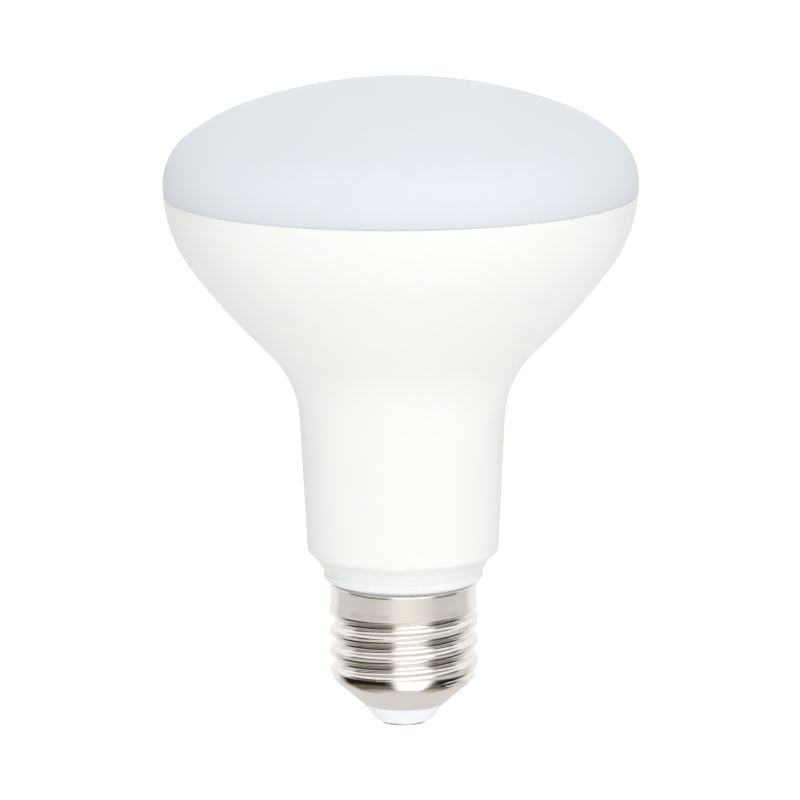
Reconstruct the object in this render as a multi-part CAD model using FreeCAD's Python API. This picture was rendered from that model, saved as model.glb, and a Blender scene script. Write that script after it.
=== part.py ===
# Reflector bulb with an E27 screw cap.
# The axis is Z, the dome looks along +Z, and Z is 0 under the centre contact.
# Sizes are millimetres.

import FreeCAD, Part
import math
import os

# Driving dimensions
HEAD_DIAMETER = 82.0
OVERALL_HEIGHT = 113.3
NECK_DIAMETER = 33.4
CAP_DIAMETER = 26.2
CAP_HEIGHT = 25.3
THREAD_PITCH = 3.629
THREAD_DEPTH = 1.05

# Head and neck, worked out from the driving dimensions
HEAD_RADIUS = HEAD_DIAMETER / 2
DOME_HEIGHT = 0.218 * HEAD_DIAMETER
CROWN_RADIUS = HEAD_DIAMETER
CROWN_EDGE = 0.348 * HEAD_DIAMETER
SHOULDER_RADIUS = 0.393 * HEAD_DIAMETER
WIDEST_Z = OVERALL_HEIGHT - DOME_HEIGHT
SEAM_Z = WIDEST_Z - 0.0225 * HEAD_DIAMETER
NECK_RADIUS = NECK_DIAMETER / 2
NECK_BOTTOM_Z = CAP_HEIGHT + 5.55
NECK_DRAFT = math.radians(2.85)
NECK_CORNER_ROUND = 0.8
THROAT_Z = NECK_BOTTOM_Z + 0.348 * (WIDEST_Z - NECK_BOTTOM_Z)
FLARE_HEIGHT = WIDEST_Z - THROAT_Z
BOWL_RADIUS = 0.584 * FLARE_HEIGHT
FLANK_RADIUS = 2.95 * FLARE_HEIGHT
THROAT_RADIUS = 0.429 * FLARE_HEIGHT

# Joint between the diffuser and the housing
SEAM_BREAK = 0.15
LIP_RADIUS = HEAD_RADIUS - 3.0
LIP_DEPTH = 2.5
LIP_CLEARANCE = 0.1

# Collar between the housing and the cap
SHELL_RADIUS = CAP_DIAMETER / 2
CHAMFER_BOTTOM_Z = CAP_HEIGHT + 4.05
COLLAR_RADIUS = SHELL_RADIUS + 2.0
COLLAR_WAIST_RADIUS = SHELL_RADIUS + 0.75
COLLAR_WAIST_Z = CAP_HEIGHT + 1.9
BEAD_RADIUS = SHELL_RADIUS + 0.85
BEAD_ROUND = 0.95
RIM_GAP = 0.3
PLUG_RADIUS = NECK_RADIUS - 5.5
PLUG_HEIGHT = 6.0
PLUG_CLEARANCE = 0.1

# Screw shell
SHELL_WALL = 0.3
ROOT_RADIUS = SHELL_RADIUS - THREAD_DEPTH
BORE_RADIUS = ROOT_RADIUS - SHELL_WALL
SKIRT_RADIUS = SHELL_RADIUS - 0.2
SKIRT_BOTTOM_Z = CAP_HEIGHT - 3.5
SKIRT_STEP_HEIGHT = 0.9
SHELL_RIM_ROUND = 0.7
LIP_Z = 3.6
SHELL_LIP_RADIUS = 7.6
CONE_ANGLE = math.radians(48.8)
CONE_ROUND = 4.2
CONE_WALL = 0.35
KNUCKLE_RADIUS = ((THREAD_PITCH / 2) ** 2 + THREAD_DEPTH**2) / (4 * THREAD_DEPTH)
CONE_TOP_Z = LIP_Z + (SHELL_RADIUS - SHELL_LIP_RADIUS) / math.tan(CONE_ANGLE)
GROOVE_START_Z = 11.0
FIRST_TURN = -0.82
FADE_IN_TURNS = 0.35
LAST_TURN = 3.0
FADE_OUT_TURNS = 0.9
RUN_OUT_CLEARANCE = 0.15
BLANK_SEAM_TURN = FIRST_TURN - 0.1
CREST_LAND_DEPTH = 0.008
CREST_LAND_WIDTH = 0.08
CUTTER_OVERHANG = 0.6
PATH_POINTS_PER_TURN = 16

# Insulator, contact and the fits inside the shell
INNER_CLEARANCE = 0.1
INSULATOR_TOP_Z = LIP_Z + 2.0
INSULATOR_RADIUS = SHELL_LIP_RADIUS - 0.15
INSULATOR_TIP_RADIUS = 4.95
INSULATOR_TIP_ROUND = 0.5
CONTACT_RADIUS = 4.3
CONTACT_THICKNESS = 0.45
CONTACT_EDGE_BREAK = 0.12
PIN_RADIUS = 0.95
PIN_CLEARANCE = 0.05


def line(start, end):
    """A straight edge between two (radius, height) points."""
    return Part.LineSegment(at(start), at(end)).toShape()


def arc(start, centre, end):
    """The shorter round edge about a centre, between two (radius, height) points."""
    radius = math.dist(start, centre)
    towards = ((start[0] + end[0]) / 2 - centre[0], (start[1] + end[1]) / 2 - centre[1])
    scale = radius / math.hypot(*towards)
    middle = (centre[0] + towards[0] * scale, centre[1] + towards[1] * scale)
    return Part.Arc(at(start), at(middle), at(end)).toShape()


def at(point):
    """A (radius, height) point in the plane that is turned about the axis."""
    return FreeCAD.Vector(point[0], 0, point[1])


def polyline(points):
    """Straight edges through a list of (radius, height) points."""
    return [line(start, end) for start, end in zip(points, points[1:])]


def turned(edges):
    """The solid made by turning a closed outline about the axis."""
    face = Part.Face(Part.Wire(edges))
    return face.revolve(FreeCAD.Vector(0, 0, 0), FreeCAD.Vector(0, 0, 1), 360)


def point_on(centre, radius, towards):
    """The point of a circle in the direction of another point."""
    length = math.dist(centre, towards)
    return (
        centre[0] + radius * (towards[0] - centre[0]) / length,
        centre[1] + radius * (towards[1] - centre[1]) / length,
    )


def point_beyond(start, through, distance):
    """The point a distance past another one, on the line from a start."""
    length = math.dist(start, through)
    return point_on(start, length + distance, through)


def rounded_corner(before, corner, after, radius):
    """Start, centre and end of the arc that rounds a corner between two straight edges."""
    to_before = point_on(corner, 1.0, before)
    to_after = point_on(corner, 1.0, after)
    half_angle = math.asin(math.dist(to_before, to_after) / 2)
    reach = radius / math.tan(half_angle)
    start = point_on(corner, reach, before)
    end = point_on(corner, reach, after)
    bisector = ((start[0] + end[0]) / 2, (start[1] + end[1]) / 2)
    centre = point_on(corner, radius / math.sin(half_angle), bisector)
    return start, centre, end


def circles_meet(first, first_radius, second, second_radius):
    """The crossing of two circles that lies nearer to the axis and lower."""
    gap = math.dist(first, second)
    along = (gap**2 + first_radius**2 - second_radius**2) / (2 * gap)
    across = math.sqrt(first_radius**2 - along**2)
    unit = ((second[0] - first[0]) / gap, (second[1] - first[1]) / gap)
    foot = (first[0] + along * unit[0], first[1] + along * unit[1])
    sides = [
        (foot[0] + across * unit[1], foot[1] - across * unit[0]),
        (foot[0] - across * unit[1], foot[1] + across * unit[0]),
    ]
    return min(sides)


def bowl_centre():
    """Centre of the arc under the widest ring of the head."""
    return (HEAD_RADIUS - BOWL_RADIUS, WIDEST_Z)


def bowl_radius_at(z):
    """Outer radius of the head at a height close below its widest ring."""
    return bowl_centre()[0] + math.sqrt(BOWL_RADIUS**2 - (z - WIDEST_Z) ** 2)


def diffuser():
    """The opal dome, with the lip that centres it in the housing."""
    apex = (0, OVERALL_HEIGHT)
    widest = (HEAD_RADIUS, WIDEST_Z)
    crown_centre = (0, OVERALL_HEIGHT - CROWN_RADIUS)
    crown_end_z = crown_centre[1] + math.sqrt(CROWN_RADIUS**2 - CROWN_EDGE**2)
    crown_end = (CROWN_EDGE, crown_end_z)
    shoulder_centre = point_on(crown_end, SHOULDER_RADIUS, crown_centre)
    inset = HEAD_RADIUS - shoulder_centre[0]
    drop = shoulder_centre[1] - WIDEST_Z
    rim_radius = (SHOULDER_RADIUS**2 - inset**2 - drop**2) / (
        2 * (SHOULDER_RADIUS - inset)
    )
    rim_centre = (HEAD_RADIUS - rim_radius, WIDEST_Z)
    shoulder_end = point_beyond(shoulder_centre, rim_centre, rim_radius)
    bowl_end = (bowl_radius_at(SEAM_Z + SEAM_BREAK), SEAM_Z + SEAM_BREAK)
    lip_z = SEAM_Z - LIP_DEPTH
    outline = [
        arc(apex, crown_centre, crown_end),
        arc(crown_end, shoulder_centre, shoulder_end),
        arc(shoulder_end, rim_centre, widest),
        arc(widest, bowl_centre(), bowl_end),
    ]
    outline += polyline(
        [
            bowl_end,
            (bowl_end[0] - SEAM_BREAK, SEAM_Z),
            (LIP_RADIUS, SEAM_Z),
            (LIP_RADIUS, lip_z),
            (0, lip_z),
            apex,
        ]
    )
    return turned(outline)


def housing():
    """The reflector-shaped moulding: bowl, flank, throat, tapered neck and chamfer."""
    rim = (bowl_radius_at(SEAM_Z - SEAM_BREAK), SEAM_Z - SEAM_BREAK)
    neck_bottom = (NECK_RADIUS, NECK_BOTTOM_Z)
    throat_centre = (
        NECK_RADIUS
        + (THROAT_Z - NECK_BOTTOM_Z) * math.tan(NECK_DRAFT)
        + THROAT_RADIUS / math.cos(NECK_DRAFT),
        THROAT_Z,
    )
    flank_centre = circles_meet(
        bowl_centre(),
        FLANK_RADIUS - BOWL_RADIUS,
        throat_centre,
        FLANK_RADIUS + THROAT_RADIUS,
    )
    bowl_end = point_beyond(flank_centre, bowl_centre(), BOWL_RADIUS)
    flank_end = point_on(throat_centre, THROAT_RADIUS, flank_centre)
    neck_top = (
        throat_centre[0] - THROAT_RADIUS * math.cos(NECK_DRAFT),
        throat_centre[1] + THROAT_RADIUS * math.sin(NECK_DRAFT),
    )
    chamfer_end = (COLLAR_RADIUS, CHAMFER_BOTTOM_Z)
    corner_start, corner_centre, corner_end = rounded_corner(
        neck_top, neck_bottom, chamfer_end, NECK_CORNER_ROUND
    )
    recess_z = SEAM_Z - LIP_DEPTH
    recess_radius = LIP_RADIUS + LIP_CLEARANCE
    bore_radius = PLUG_RADIUS + PLUG_CLEARANCE
    bore_top_z = CHAMFER_BOTTOM_Z + PLUG_HEIGHT
    outline = polyline(
        [
            (0, recess_z),
            (recess_radius, recess_z),
            (recess_radius, SEAM_Z),
            (rim[0] - SEAM_BREAK, SEAM_Z),
            rim,
        ]
    )
    outline += [
        arc(rim, bowl_centre(), bowl_end),
        arc(bowl_end, flank_centre, flank_end),
        arc(flank_end, throat_centre, neck_top),
        line(neck_top, corner_start),
        arc(corner_start, corner_centre, corner_end),
    ]
    outline += polyline(
        [
            corner_end,
            chamfer_end,
            (bore_radius, CHAMFER_BOTTOM_Z),
            (bore_radius, bore_top_z),
            (0, bore_top_z),
            (0, recess_z),
        ]
    )
    return turned(outline)


def cone_radius(z):
    """Outer radius of the straight cone at the bottom of the screw shell."""
    return SHELL_LIP_RADIUS + (z - LIP_Z) * math.tan(CONE_ANGLE)


def cone_bore_radius(z):
    """Inner radius of the same cone."""
    return cone_radius(z) - CONE_WALL / math.cos(CONE_ANGLE)


def cone_bore_height(radius):
    """Height at which the inner cone has a radius."""
    return LIP_Z + (radius - cone_bore_radius(LIP_Z)) / math.tan(CONE_ANGLE)


def base_sleeve():
    """The collar, its plug in the neck and the spigot that fills the screw shell."""
    spigot_radius = BORE_RADIUS - INNER_CLEARANCE
    foot_radius = cone_bore_radius(INSULATOR_TOP_Z) - INNER_CLEARANCE
    plug_top_z = CHAMFER_BOTTOM_Z + PLUG_HEIGHT
    bead_top = (BEAD_RADIUS, COLLAR_WAIST_Z - (BEAD_RADIUS - COLLAR_WAIST_RADIUS))
    bead_centre = (BEAD_RADIUS - BEAD_ROUND, CAP_HEIGHT + RIM_GAP + BEAD_ROUND)
    bead_side = (BEAD_RADIUS, bead_centre[1])
    bead_bottom = (bead_centre[0], CAP_HEIGHT + RIM_GAP)
    seat_radius = SKIRT_RADIUS - SHELL_RIM_ROUND
    outline = polyline(
        [
            (0, plug_top_z),
            (PLUG_RADIUS, plug_top_z),
            (PLUG_RADIUS, CHAMFER_BOTTOM_Z),
            (COLLAR_RADIUS, CHAMFER_BOTTOM_Z),
            (COLLAR_WAIST_RADIUS, COLLAR_WAIST_Z),
            bead_top,
            bead_side,
        ]
    )
    outline.append(arc(bead_side, bead_centre, bead_bottom))
    outline += polyline(
        [
            bead_bottom,
            (seat_radius, CAP_HEIGHT + RIM_GAP),
            (seat_radius, CAP_HEIGHT),
            (spigot_radius, CAP_HEIGHT),
            (spigot_radius, cone_bore_height(BORE_RADIUS)),
            (foot_radius, INSULATOR_TOP_Z),
            (0, INSULATOR_TOP_Z),
            (0, plug_top_z),
        ]
    )
    return turned(outline)


def eased(value):
    """A smooth step from 0 to 1."""
    clipped = min(max(value, 0.0), 1.0)
    return clipped * clipped * (3 - 2 * clipped)


def groove_radius(turn):
    """Radius at the bottom of the groove, which runs out of the metal at both ends."""
    fade_in = eased((turn - FIRST_TURN) / FADE_IN_TURNS)
    fade_out = eased((LAST_TURN - turn) / FADE_OUT_TURNS)
    lift = (1 - fade_in * fade_out) * (THREAD_DEPTH + RUN_OUT_CLEARANCE)
    return ROOT_RADIUS + CREST_LAND_DEPTH + lift


def groove_path():
    """The helix that the bottom of the groove follows, rising to the right."""
    turns = LAST_TURN - FIRST_TURN
    steps = math.ceil(turns * PATH_POINTS_PER_TURN)
    points = []
    for step in range(steps + 1):
        turn = FIRST_TURN + turns * step / steps
        angle = math.pi + 2 * math.pi * turn
        radius = groove_radius(turn)
        z = GROOVE_START_Z + THREAD_PITCH * turn
        points.append(
            FreeCAD.Vector(radius * math.cos(angle), radius * math.sin(angle), z)
        )
    curve = Part.BSplineCurve()
    curve.interpolate(points)
    return curve


def knuckle_rise(offset):
    """Height of the rolled thread over the bottom of its groove, at a distance along the axis."""
    if offset < THREAD_PITCH / 4:
        return KNUCKLE_RADIUS - math.sqrt(KNUCKLE_RADIUS**2 - offset**2)
    to_crest = THREAD_PITCH / 2 - offset
    return THREAD_DEPTH - KNUCKLE_RADIUS + math.sqrt(KNUCKLE_RADIUS**2 - to_crest**2)


def groove_section(foot):
    """Closed section of the groove: a round root between two halves of round crests."""
    outward = FreeCAD.Vector(foot.x, foot.y, 0).normalize()
    upward = FreeCAD.Vector(0, 0, 1)

    def place(rise, offset):
        return foot + outward * rise + upward * offset

    flank = THREAD_PITCH / 4
    edge = THREAD_PITCH / 2 - CREST_LAND_WIDTH / 2
    middle = (flank + edge) / 2
    outside = THREAD_DEPTH + CUTTER_OVERHANG
    root_top = place(knuckle_rise(flank), flank)
    root_bottom = place(knuckle_rise(flank), -flank)
    crest_top = place(knuckle_rise(edge), edge)
    crest_bottom = place(knuckle_rise(edge), -edge)
    outer_top = place(outside, edge)
    outer_bottom = place(outside, -edge)
    edges = [
        Part.Arc(crest_bottom, place(knuckle_rise(middle), -middle), root_bottom).toShape(),
        Part.Arc(root_bottom, place(0, 0), root_top).toShape(),
        Part.Arc(root_top, place(knuckle_rise(middle), middle), crest_top).toShape(),
        Part.LineSegment(crest_top, outer_top).toShape(),
        Part.LineSegment(outer_top, outer_bottom).toShape(),
        Part.LineSegment(outer_bottom, crest_bottom).toShape(),
    ]
    return Part.Wire(edges)


def groove_cutter():
    """The solid that the thread rolls out of the shell: the groove swept along its helix."""
    path = groove_path()
    sweep = Part.BRepOffsetAPI.MakePipeShell(Part.Wire([path.toShape()]))
    sweep.setBiNormalMode(FreeCAD.Vector(0, 0, 1))
    sweep.add(groove_section(path.value(path.FirstParameter)))
    sweep.build()
    sweep.makeSolid()
    return sweep.shape()


def shell_blank():
    """The shell before threading: round rim, skirt, shoulder and cone, open at both ends."""
    shoulder_start, shoulder_centre, shoulder_end = rounded_corner(
        (SHELL_RADIUS, CAP_HEIGHT),
        (SHELL_RADIUS, CONE_TOP_Z),
        (SHELL_LIP_RADIUS, LIP_Z),
        CONE_ROUND,
    )
    rim_start, rim_centre, rim_end = rounded_corner(
        (BORE_RADIUS, CAP_HEIGHT),
        (SKIRT_RADIUS, CAP_HEIGHT),
        (SKIRT_RADIUS, SKIRT_BOTTOM_Z),
        SHELL_RIM_ROUND,
    )
    outline = [
        line((BORE_RADIUS, CAP_HEIGHT), rim_start),
        arc(rim_start, rim_centre, rim_end),
    ]
    outline += polyline(
        [
            rim_end,
            (SKIRT_RADIUS, SKIRT_BOTTOM_Z),
            (SHELL_RADIUS, SKIRT_BOTTOM_Z - SKIRT_STEP_HEIGHT),
            shoulder_start,
        ]
    )
    outline.append(arc(shoulder_start, shoulder_centre, shoulder_end))
    outline += polyline(
        [
            shoulder_end,
            (SHELL_LIP_RADIUS, LIP_Z),
            (cone_bore_radius(LIP_Z), LIP_Z),
            (BORE_RADIUS, cone_bore_height(BORE_RADIUS)),
            (BORE_RADIUS, CAP_HEIGHT),
        ]
    )
    blank = turned(outline)
    axis = FreeCAD.Vector(0, 0, 1)
    # The seam of the turned faces stays behind the start of the groove.
    blank.rotate(FreeCAD.Vector(0, 0, 0), axis, 180 + 360 * BLANK_SEAM_TURN)
    return blank


def screw_shell():
    """The rolled metal shell with its knuckle thread."""
    return shell_blank().cut(groove_cutter())


def insulator():
    """The cone at the tip, held in the lip of the shell, with the hole for the pin."""
    lip_bore = cone_bore_radius(LIP_Z) - INNER_CLEARANCE
    shoulder_radius = cone_bore_radius(INSULATOR_TOP_Z) - INNER_CLEARANCE
    hole_radius = PIN_RADIUS + PIN_CLEARANCE
    cone_top = (INSULATOR_RADIUS, LIP_Z)
    tip_corner = (INSULATOR_TIP_RADIUS, CONTACT_THICKNESS)
    hole_bottom = (hole_radius, CONTACT_THICKNESS)
    tip_start, tip_centre, tip_end = rounded_corner(
        cone_top, tip_corner, hole_bottom, INSULATOR_TIP_ROUND
    )
    outline = polyline(
        [
            (hole_radius, INSULATOR_TOP_Z),
            (shoulder_radius, INSULATOR_TOP_Z),
            (lip_bore, LIP_Z),
            cone_top,
            tip_start,
        ]
    )
    outline.append(arc(tip_start, tip_centre, tip_end))
    outline += polyline([tip_end, hole_bottom, (hole_radius, INSULATOR_TOP_Z)])
    return turned(outline)


def centre_contact():
    """The disc that touches the lampholder, with the pin that holds it."""
    outline = polyline(
        [
            (0, 0),
            (CONTACT_RADIUS - CONTACT_EDGE_BREAK, 0),
            (CONTACT_RADIUS, CONTACT_EDGE_BREAK),
            (CONTACT_RADIUS, CONTACT_THICKNESS),
            (PIN_RADIUS, CONTACT_THICKNESS),
            (PIN_RADIUS, INSULATOR_TOP_Z),
            (0, INSULATOR_TOP_Z),
            (0, 0),
        ]
    )
    return turned(outline)


def main():
    """Build every piece and write it to its own file."""
    pieces = {
        "diffuser": diffuser(),
        "housing": housing(),
        "base_sleeve": base_sleeve(),
        "screw_shell": screw_shell(),
        "insulator": insulator(),
        "centre_contact": centre_contact(),
    }
    os.makedirs("parts", exist_ok=True)
    for name, piece in pieces.items():
        piece.exportStep(os.path.join("parts", name + ".step"))
        print(name, len(piece.Solids), piece.isValid(), round(piece.Volume, 1))


main()
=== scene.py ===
import math

import bpy
from mathutils import Matrix, Vector


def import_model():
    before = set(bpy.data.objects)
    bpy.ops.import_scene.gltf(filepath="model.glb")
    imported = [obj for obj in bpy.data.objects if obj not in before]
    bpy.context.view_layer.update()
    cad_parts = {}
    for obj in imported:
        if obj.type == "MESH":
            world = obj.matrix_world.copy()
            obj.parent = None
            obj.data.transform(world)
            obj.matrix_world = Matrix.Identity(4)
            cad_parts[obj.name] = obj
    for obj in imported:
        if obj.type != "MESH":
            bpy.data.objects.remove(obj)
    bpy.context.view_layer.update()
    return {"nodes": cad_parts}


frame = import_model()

# Camera, from the outline of the bulb and the ellipses of its rings (metres, the roll in radians)
CAMERA_DISTANCE = 0.880
CAMERA_HEIGHT = 0.2305
CAMERA_SIDE = -0.00037
AIM_HEIGHT = 0.05723
CAMERA_ROLL = -0.0067
NEAREST_SEEN = 0.01
FARTHEST_SEEN = 100.0

# Lens and sensor (millimetres)
LENS = 232.6
SENSOR_WIDTH = 36.0

# White surroundings: the world as a light and as it is seen, and the floor below the bulb (metres)
WORLD_LIGHT = 0.35
WORLD_WHITE = 1.0
FLOOR_HEIGHT = -0.22
FLOOR_SIZE = 30.0
FLOOR_COLOUR = (0.9, 0.9, 0.9)
FLOOR_ROUGHNESS = 0.9
FLOOR_GLOW = 0.75

# Height on the axis that the lamps are turned to, and their distance from it (metres)
LIT_HEIGHT = 0.06
LAMP_DISTANCE = 1.3

# Lamps: azimuth and elevation (degrees), side of the square (metres) and power (watts)
LAMPS = {
    "top": (0, 85, 1.4, 6.9),
    "back": (180, 35, 0.8, 3.0),
    "front": (0, 25, 0.8, 5.8),
    "low": (0, -5, 0.3, 2.7),
    "right": (90, 15, 0.8, 3.65),
    "left": (-90, 15, 0.8, 2.45),
}

# Plastic: its reflection, and the fine grain in its gloss and surface
PLASTIC_IOR = 1.46
PLASTIC_SPECULAR = 0.35
PLASTIC_GRAIN_DETAIL = 3.0
PLASTIC_GLOSS_SPREAD = 0.04
GRAIN_STRENGTH = 0.08

# Metal: the patches in its gloss
METAL_PATCH_SCALE = 260.0
METAL_PATCH_DETAIL = 4.0
METAL_GLOSS_SPREAD = 0.03

# Globe around the cap that carries the panels: its centre and radius (metres), and its faces
CAP_MIDDLE = 0.015
GLOBE_RADIUS = 0.2
GLOBE_COLUMNS = 120
GLOBE_ROWS = 60

# Colours of the panels that the metal reflects
DARK = (0.012, 0.010, 0.007)
BROWN = (0.16, 0.14, 0.10)
DUSK = (0.12, 0.10, 0.06)
TAN = (0.45, 0.42, 0.36)
TABLE = (0.76, 0.74, 0.73)
WINDOW = (1.45, 1.45, 1.45)
BEIGE = (0.715, 0.70, 0.685)
BEIGE_MIDDLE = (0.94, 0.915, 0.88)
PALE = (0.95, 0.95, 0.95)

# Sectors that the panels share, from their first to their last azimuth (degrees)
ALL_ROUND = (-200, 200)
BACK_LEFT = (-200, -118)
BACK_RIGHT = (118, 200)
CENTRE = (-17, 45)
LEFT = (-116, -17)
RIGHT = (45, 112)

# Panels, each laid over those before it: azimuths, elevations, colour, and the softness of the
# side edges and of the upper and lower edges (degrees)
PANELS = [
    (ALL_ROUND, (-110, -62), TABLE, 8, 10),
    (BACK_LEFT, (-110, -28), TABLE, 8, 10),
    (BACK_RIGHT, (-110, -28), TABLE, 8, 10),
    (CENTRE, (-64, 60), WINDOW, 20, 10),
    (LEFT, (-70, -54), TAN, 26, 10),
    (RIGHT, (-70, -54), TAN, 22, 10),
    (LEFT, (-58, -34), BROWN, 26, 8),
    (RIGHT, (-58, -34), BROWN, 22, 8),
    (LEFT, (-40, -17), DARK, 26, 6),
    (RIGHT, (-40, -17), DARK, 22, 6),
    ((-150, -120), (-20, 18), PALE, 10, 4),
    ((120, 150), (-20, 18), PALE, 10, 4),
    ((-122, 118), (-20, 18), BEIGE, 20, 4),
    ((-27, 32), (-20, 18), BEIGE_MIDDLE, 54, 4),
    ((-85, -17), (-6, 5), DARK, 10, 4),
    ((45, 85), (-6, 5), DARK, 10, 4),
    ((-95, -22), (14, 32), DUSK, 12, 6),
    ((48, 95), (14, 32), DUSK, 12, 6),
]


def camera():
    """The photo's view: from the front, 11 degrees down, through a long lens."""
    data = bpy.data.cameras.new("camera")
    data.lens = LENS
    data.sensor_width = SENSOR_WIDTH
    data.clip_start = NEAREST_SEEN
    data.clip_end = FARTHEST_SEEN
    cam = bpy.data.objects.new("camera", data)
    bpy.context.scene.collection.objects.link(cam)
    place = Vector((CAMERA_SIDE, -CAMERA_DISTANCE, CAMERA_HEIGHT))
    aim = Vector((CAMERA_SIDE, 0, AIM_HEIGHT))
    turn = (aim - place).to_track_quat("-Z", "Y").to_matrix().to_4x4()
    cam.matrix_world = Matrix.Translation(place) @ turn @ Matrix.Rotation(CAMERA_ROLL, 4, "Z")
    bpy.context.scene.camera = cam


def direction(azimuth, elevation, distance, height):
    """A point seen from a height on the axis. Azimuth 0 is the camera's side, and 90 the right."""
    across = math.radians(azimuth)
    up = math.radians(elevation)
    level = Vector((math.sin(across), -math.cos(across), 0))
    away = level * math.cos(up) + Vector((0, 0, math.sin(up)))
    return Vector((0, 0, height)) + distance * away


def softbox(name, azimuth, elevation, size, power):
    """A soft square lamp turned to the bulb, which leaves the reflections to the panels."""
    data = bpy.data.lights.new(name, "AREA")
    data.size = size
    data.energy = power
    lamp = bpy.data.objects.new(name, data)
    bpy.context.scene.collection.objects.link(lamp)
    place = direction(azimuth, elevation, LAMP_DISTANCE, LIT_HEIGHT)
    aim = Vector((0, 0, LIT_HEIGHT))
    lamp.location = place
    lamp.rotation_euler = (aim - place).to_track_quat("-Z", "Y").to_euler()
    lamp.visible_camera = False
    lamp.visible_glossy = False


def new_material(name):
    """A new material, its node tree and its shader."""
    material = bpy.data.materials.new(name)
    material.use_nodes = True
    tree = material.node_tree
    return material, tree, tree.nodes["Principled BSDF"]


def add(tree, kind, **values):
    """A node with its properties set by name."""
    node = tree.nodes.new(kind)
    for key, value in values.items():
        setattr(node, key, value)
    return node


def seen_directly(tree):
    """1 for what the camera sees straight, in a mirror or through glass, and 0 for other light."""
    path = add(tree, "ShaderNodeLightPath")
    either = add(tree, "ShaderNodeMath", operation="MAXIMUM")
    tree.links.new(path.outputs["Is Camera Ray"], either.inputs[0])
    tree.links.new(path.outputs["Is Glossy Ray"], either.inputs[1])
    all_three = add(tree, "ShaderNodeMath", operation="MAXIMUM")
    tree.links.new(either.outputs[0], all_three.inputs[0])
    tree.links.new(path.outputs["Is Transmission Ray"], all_three.inputs[1])
    return all_three.outputs[0]


def world():
    """White all round for the eye, and a lower level as light."""
    made = bpy.data.worlds.new("world")
    made.use_nodes = True
    tree = made.node_tree
    tree.nodes.clear()
    light = add(tree, "ShaderNodeBackground")
    light.inputs["Color"].default_value = (1, 1, 1, 1)
    light.inputs["Strength"].default_value = WORLD_LIGHT
    white = add(tree, "ShaderNodeBackground")
    white.inputs["Color"].default_value = (1, 1, 1, 1)
    white.inputs["Strength"].default_value = WORLD_WHITE
    mix = add(tree, "ShaderNodeMixShader")
    out = add(tree, "ShaderNodeOutputWorld")
    tree.links.new(seen_directly(tree), mix.inputs["Fac"])
    tree.links.new(light.outputs[0], mix.inputs[1])
    tree.links.new(white.outputs[0], mix.inputs[2])
    tree.links.new(mix.outputs[0], out.inputs["Surface"])
    bpy.context.scene.world = made


def floor():
    """A plain white floor well below the bulb, which keeps its shadow."""
    material, tree, shader = new_material("floor_white")
    shader.inputs["Base Color"].default_value = (*FLOOR_COLOUR, 1)
    shader.inputs["Roughness"].default_value = FLOOR_ROUGHNESS
    glow = add(tree, "ShaderNodeEmission")
    glow.inputs["Strength"].default_value = FLOOR_GLOW
    both = add(tree, "ShaderNodeAddShader")
    mix = add(tree, "ShaderNodeMixShader")
    tree.links.new(shader.outputs[0], both.inputs[0])
    tree.links.new(glow.outputs[0], both.inputs[1])
    tree.links.new(seen_directly(tree), mix.inputs["Fac"])
    tree.links.new(shader.outputs[0], mix.inputs[1])
    tree.links.new(both.outputs[0], mix.inputs[2])
    tree.links.new(mix.outputs[0], tree.nodes["Material Output"].inputs["Surface"])
    bpy.ops.mesh.primitive_plane_add(size=FLOOR_SIZE, location=(0, 0, FLOOR_HEIGHT))
    plane = bpy.context.object
    plane.name = "floor"
    plane.data.materials.append(material)


def edge(value, start, end, softness):
    """1 between a start and an end, 0 outside them, with soft edges."""
    rise = (value - start) / softness + 0.5
    fall = (end - value) / softness + 0.5
    inside = min(max(min(rise, fall), 0.0), 1.0)
    return inside * inside * (3 - 2 * inside)


def studio_colour(azimuth, elevation):
    """What the metal reflects in a direction: the panels, laid over each other in order."""
    colour = Vector((1.0, 1.0, 1.0))
    for azimuths, elevations, panel, side_softness, height_softness in PANELS:
        across = edge(azimuth, *azimuths, side_softness)
        up = edge(elevation, *elevations, height_softness)
        colour = colour.lerp(Vector(panel), across * up)
    return colour


def studio_mesh():
    """A globe with the panels' colours on its points."""
    points = []
    colours = []
    for row in range(GLOBE_ROWS + 1):
        elevation = -90 + 180 * row / GLOBE_ROWS
        for column in range(GLOBE_COLUMNS + 1):
            azimuth = -180 + 360 * column / GLOBE_COLUMNS
            points.append(direction(azimuth, elevation, GLOBE_RADIUS, CAP_MIDDLE))
            colours += [*studio_colour(azimuth, elevation), 1.0]
    faces = []
    for row in range(GLOBE_ROWS):
        for column in range(GLOBE_COLUMNS):
            first = row * (GLOBE_COLUMNS + 1) + column
            above = first + GLOBE_COLUMNS + 1
            faces.append((first, first + 1, above + 1, above))
    mesh = bpy.data.meshes.new("studio")
    mesh.from_pydata(points, [], faces)
    panels = mesh.color_attributes.new("panels", "FLOAT_COLOR", "POINT")
    panels.data.foreach_set("color", colours)
    return mesh


def studio_material():
    """The panels' colours as plain light."""
    material = bpy.data.materials.new("studio")
    material.use_nodes = True
    tree = material.node_tree
    tree.nodes.clear()
    painted = add(tree, "ShaderNodeVertexColor", layer_name="panels")
    glow = add(tree, "ShaderNodeEmission")
    out = add(tree, "ShaderNodeOutputMaterial")
    tree.links.new(painted.outputs["Color"], glow.inputs["Color"])
    tree.links.new(glow.outputs[0], out.inputs["Surface"])
    return material


def studio():
    """Soft panels around the bulb, which show only in reflections."""
    mesh = studio_mesh()
    mesh.materials.append(studio_material())
    globe = bpy.data.objects.new("studio", mesh)
    bpy.context.scene.collection.objects.link(globe)
    globe.visible_camera = False
    globe.visible_diffuse = False
    globe.visible_shadow = False
    globe.visible_transmission = False


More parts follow.
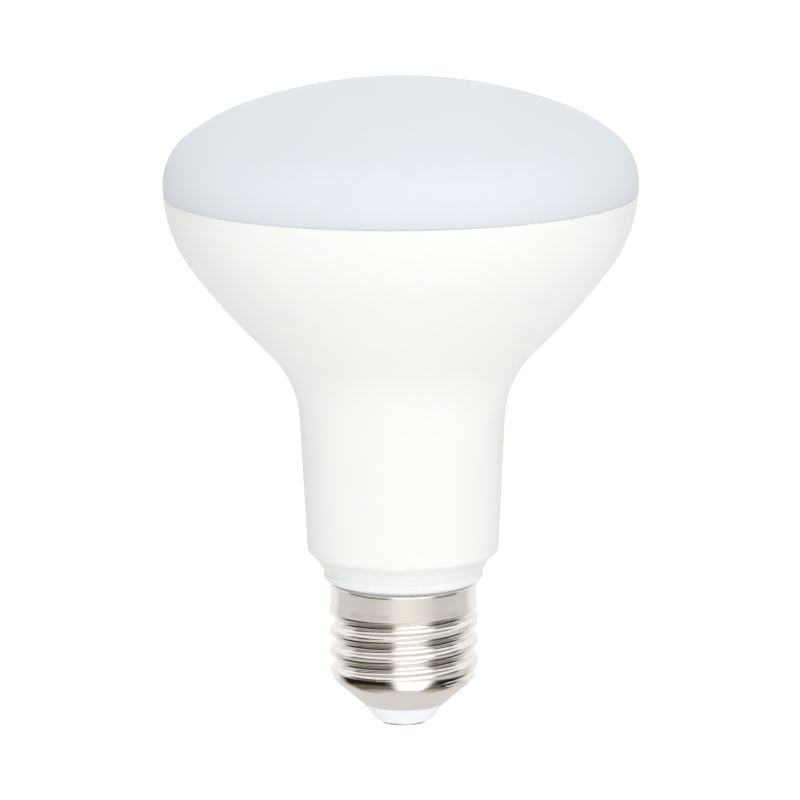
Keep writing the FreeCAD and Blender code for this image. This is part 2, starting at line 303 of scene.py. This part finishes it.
def uneven_gloss(tree, shader, scale, detail, roughness, spread):
    """A roughness that wanders a little over the surface. Returns the noise behind it."""
    place = add(tree, "ShaderNodeTexCoord")
    noise = add(tree, "ShaderNodeTexNoise")
    noise.inputs["Scale"].default_value = scale
    noise.inputs["Detail"].default_value = detail
    tree.links.new(place.outputs["Object"], noise.inputs["Vector"])
    span = add(tree, "ShaderNodeMapRange")
    span.inputs["To Min"].default_value = roughness - spread
    span.inputs["To Max"].default_value = roughness + spread
    tree.links.new(noise.outputs["Fac"], span.inputs["Value"])
    tree.links.new(span.outputs["Result"], shader.inputs["Roughness"])
    return noise


def plastic(name, colour, roughness, grain_scale, grain_depth, subsurface=0.0, radius=0.0):
    """A moulded plastic with a fine grain. The grain's depth and the radius are metres."""
    material, tree, shader = new_material(name)
    shader.inputs["Base Color"].default_value = (*colour, 1)
    shader.inputs["IOR"].default_value = PLASTIC_IOR
    shader.inputs["Specular IOR Level"].default_value = PLASTIC_SPECULAR
    if subsurface:
        shader.inputs["Subsurface Weight"].default_value = subsurface
        shader.inputs["Subsurface Radius"].default_value = (1.0, 1.0, 1.0)
        shader.inputs["Subsurface Scale"].default_value = radius
    noise = uneven_gloss(
        tree, shader, grain_scale, PLASTIC_GRAIN_DETAIL, roughness, PLASTIC_GLOSS_SPREAD
    )
    bump = add(tree, "ShaderNodeBump")
    bump.inputs["Strength"].default_value = GRAIN_STRENGTH
    bump.inputs["Distance"].default_value = grain_depth
    tree.links.new(noise.outputs["Fac"], bump.inputs["Height"])
    tree.links.new(bump.outputs["Normal"], shader.inputs["Normal"])
    return material


def metal(name, colour, roughness):
    """Plated metal with slightly uneven gloss."""
    material, tree, shader = new_material(name)
    shader.inputs["Base Color"].default_value = (*colour, 1)
    shader.inputs["Metallic"].default_value = 1.0
    uneven_gloss(
        tree, shader, METAL_PATCH_SCALE, METAL_PATCH_DETAIL, roughness, METAL_GLOSS_SPREAD
    )
    return material


def dress(node, material):
    """Gives a CAD piece its finish."""
    slots = frame["nodes"][node].data.materials
    slots.clear()
    slots.append(material)


bpy.context.scene.view_settings.view_transform = "Standard"
camera()
world()
floor()

for lamp_name, settings in LAMPS.items():
    softbox(lamp_name, *settings)

studio()

opal = plastic(
    "opal",
    colour=(0.74, 0.765, 0.805),
    roughness=0.5,
    grain_scale=900.0,
    grain_depth=0.00005,
    subsurface=0.3,
    radius=0.004,
)
warm_white = plastic(
    "warm_white",
    colour=(0.90, 0.90, 0.88),
    roughness=0.45,
    grain_scale=1400.0,
    grain_depth=0.00005,
)
cool_white = plastic(
    "cool_white",
    colour=(0.87, 0.885, 0.885),
    roughness=0.4,
    grain_scale=1400.0,
    grain_depth=0.00005,
)
insulator = plastic(
    "insulator",
    colour=(0.92, 0.95, 0.975),
    roughness=0.3,
    grain_scale=1400.0,
    grain_depth=0.00003,
)
nickel = metal("nickel", colour=(0.86, 0.83, 0.79), roughness=0.13)
contact = metal("contact", colour=(0.66, 0.66, 0.67), roughness=0.3)

dress("diffuser", opal)
dress("housing", warm_white)
dress("base_sleeve", cool_white)
dress("screw_shell", nickel)
dress("insulator", insulator)
dress("centre_contact", contact)
